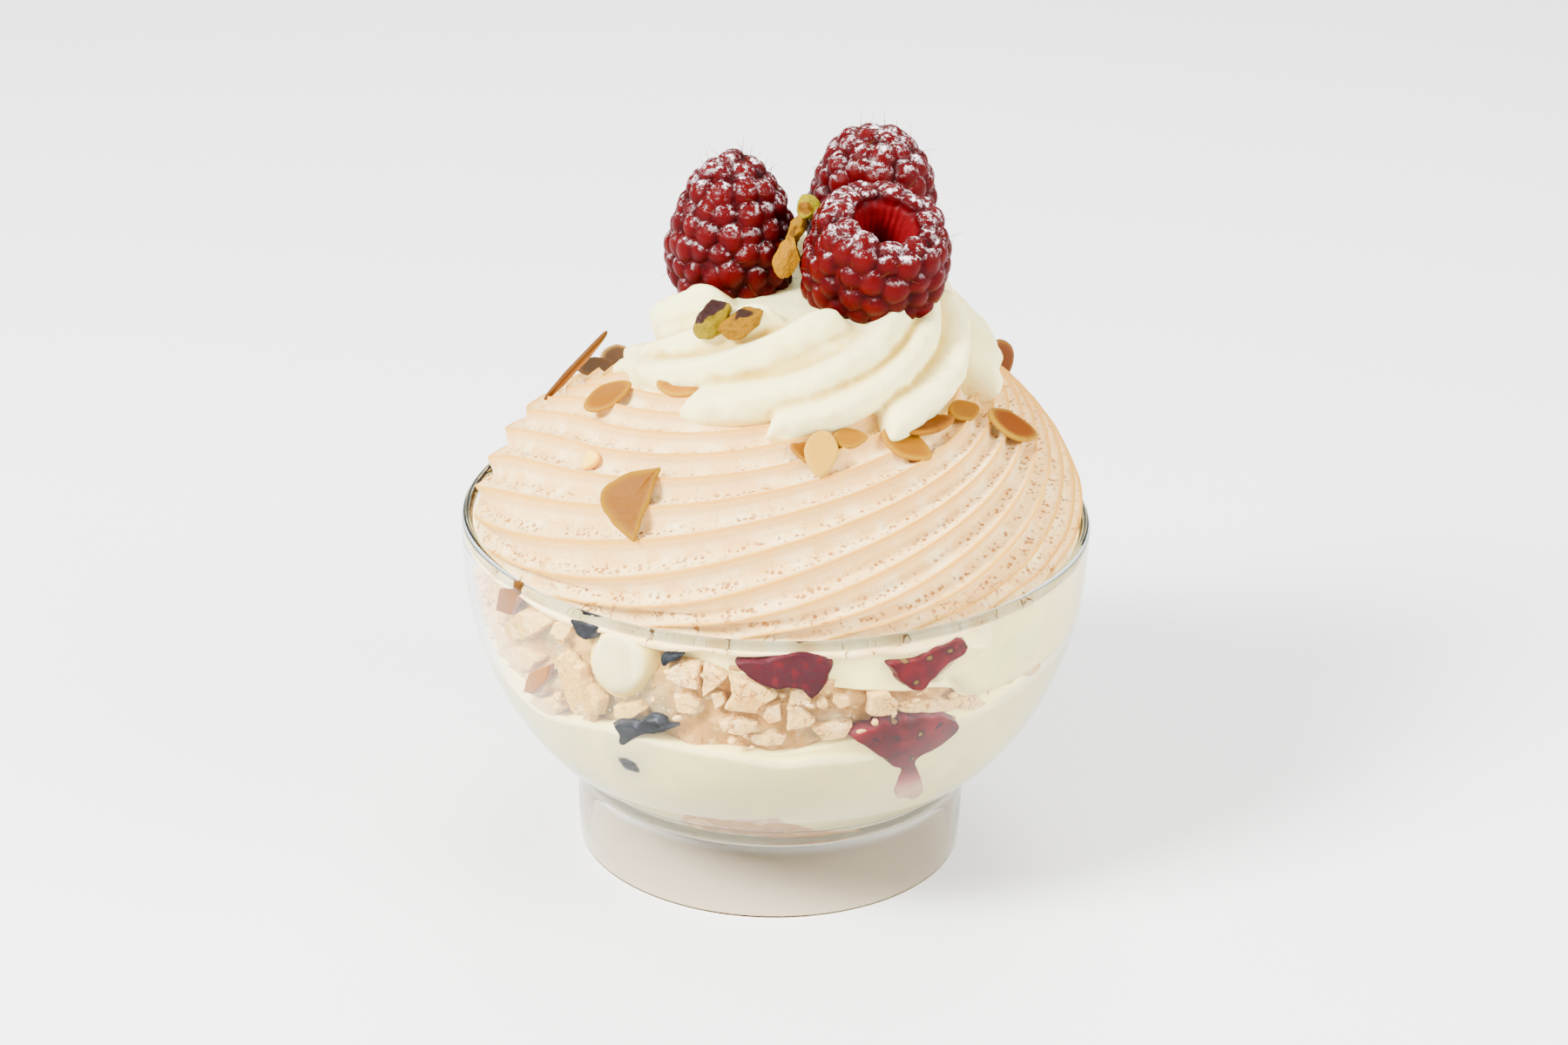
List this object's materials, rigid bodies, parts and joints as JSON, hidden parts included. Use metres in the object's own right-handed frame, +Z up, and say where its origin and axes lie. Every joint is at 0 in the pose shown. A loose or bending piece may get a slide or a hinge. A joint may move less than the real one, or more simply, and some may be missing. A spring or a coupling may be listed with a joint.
{
  "type": "pavlova",
  "caption": "Individual pavlova built in a clear footed bowl: custard, meringue pieces and fruit under a swirled meringue dome with a cream rosette and raspberries.",
  "frame": {"origin": "centre of the foot's underside, on the axis of the bowl", "axes": "+Z up along the bowl's axis, -Y towards the side shown to the front"},
  "size_m": [0.108, 0.108, 0.1264],
  "materials": {
    "clear_bowl": "clear, polished",
    "crumb": "dry, crumbly",
    "custard": "smooth, pressed against the wall",
    "meringue": "dry, baked, finely porous",
    "whipped_cream": "smooth, softly glossy",
    "strawberry": "wet cut fruit",
    "blueberry": "waxy bloom",
    "raspberry": "moist, dusted with sugar"
  },
  "bodies": {
    "root": {"bowl": "clear_bowl", "base_crumb": "crumb", "custard_layer": "custard", "meringue_rubble": "meringue", "upper_cream": "whipped_cream", "strawberry_1": "strawberry", "strawberry_2": "strawberry", "strawberry_3": "strawberry", "strawberry_4": "strawberry", "strawberry_5": "strawberry", "strawberry_6": "strawberry", "blueberry_1": "blueberry", "blueberry_2": "blueberry", "blueberry_3": "blueberry", "blueberry_4": "blueberry", "blueberry_5": "blueberry", "blueberry_6": "blueberry", "blueberry_7": "blueberry", "cream_dollop_1": "whipped_cream", "cream_dollop_2": "whipped_cream", "meringue_dome": "meringue", "cream_rosette": "whipped_cream", "raspberry_left": "raspberry", "raspberry_back": "raspberry", "raspberry_front": "raspberry"}
  },
  "joints": []
}
